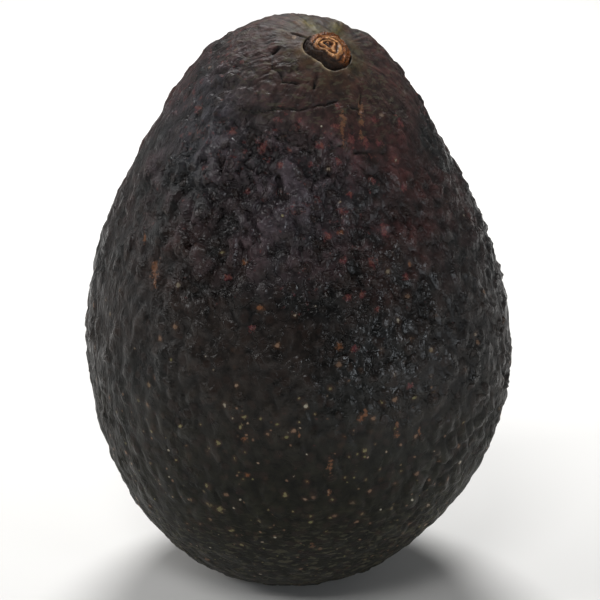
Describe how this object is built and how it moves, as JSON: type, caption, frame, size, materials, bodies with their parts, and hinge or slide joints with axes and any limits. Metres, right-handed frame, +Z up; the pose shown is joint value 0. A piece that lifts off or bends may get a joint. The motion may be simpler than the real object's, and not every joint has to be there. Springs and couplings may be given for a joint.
{
  "type": "avocado",
  "caption": "Ripe avocado with dark pebbled skin and a corky stem stub in its pit, standing upright on a small flat spot at its blunt end.",
  "frame": {"origin": "middle of the small flat spot at the blunt end, on the surface that the fruit rests on", "axes": "+Z up from the blunt end to the stem end; -Y is the front, towards which the neck leans; +X is to the right seen from the front"},
  "size_m": [0.072, 0.0715, 0.0957],
  "materials": {
    "skin": "dark, pebbled, waxy skin with low satin gloss",
    "stem_cork": "dry ringed cork"
  },
  "bodies": {
    "root": {"fruit": "skin", "stem_stub": "stem_cork"}
  },
  "joints": []
}
